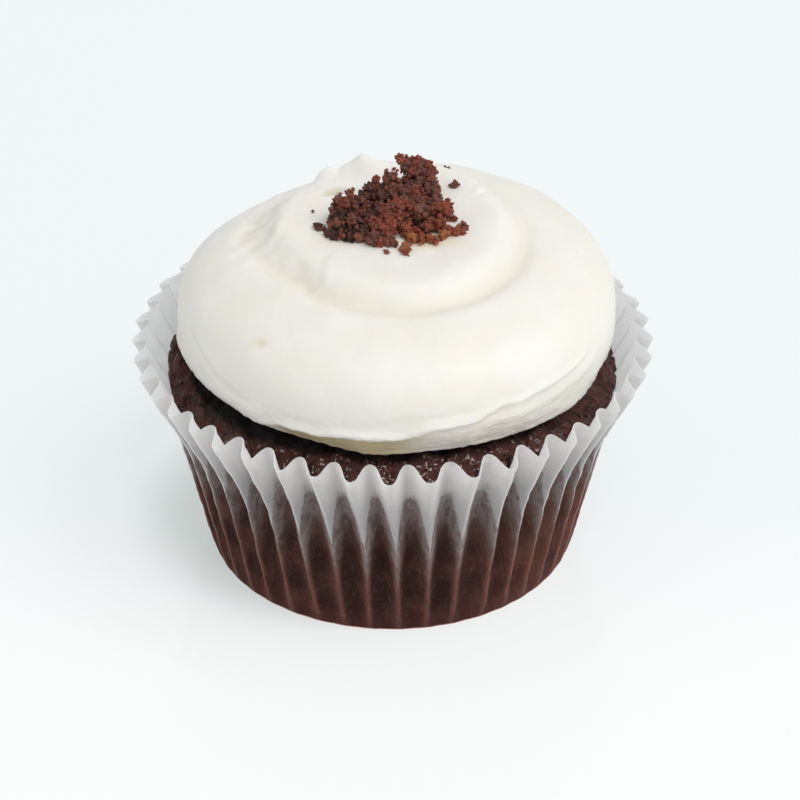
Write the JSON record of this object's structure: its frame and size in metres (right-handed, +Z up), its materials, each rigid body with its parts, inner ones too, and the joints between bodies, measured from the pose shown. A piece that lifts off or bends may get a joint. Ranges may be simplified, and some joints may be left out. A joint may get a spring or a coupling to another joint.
{
  "type": "cupcake",
  "caption": "Chocolate cupcake in a fluted white paper case, with a broad swirl of pale frosting and a heap of cake crumbs on top.",
  "frame": {"origin": "centre of the case's flat base, on the surface that the cupcake stands on", "axes": "+Z up through the cupcake, +X to the viewer's right, -Y towards the viewer, where the lip of frosting climbs to the right"},
  "size_m": [0.0696, 0.0697, 0.0526],
  "materials": {
    "case_paper": "thin white greaseproof paper, see-through brown where the cake has soaked it",
    "chocolate_sponge": "moist dark crumb with glossy crags at the rim",
    "cream_frosting": "smooth and satin, with faint drag marks",
    "cake_crumbs": "rough and moist, reddish where thin"
  },
  "bodies": {
    "root": {"paper_case": "case_paper", "cake": "chocolate_sponge", "frosting": "cream_frosting", "crumb_heap": "cake_crumbs"}
  },
  "joints": []
}
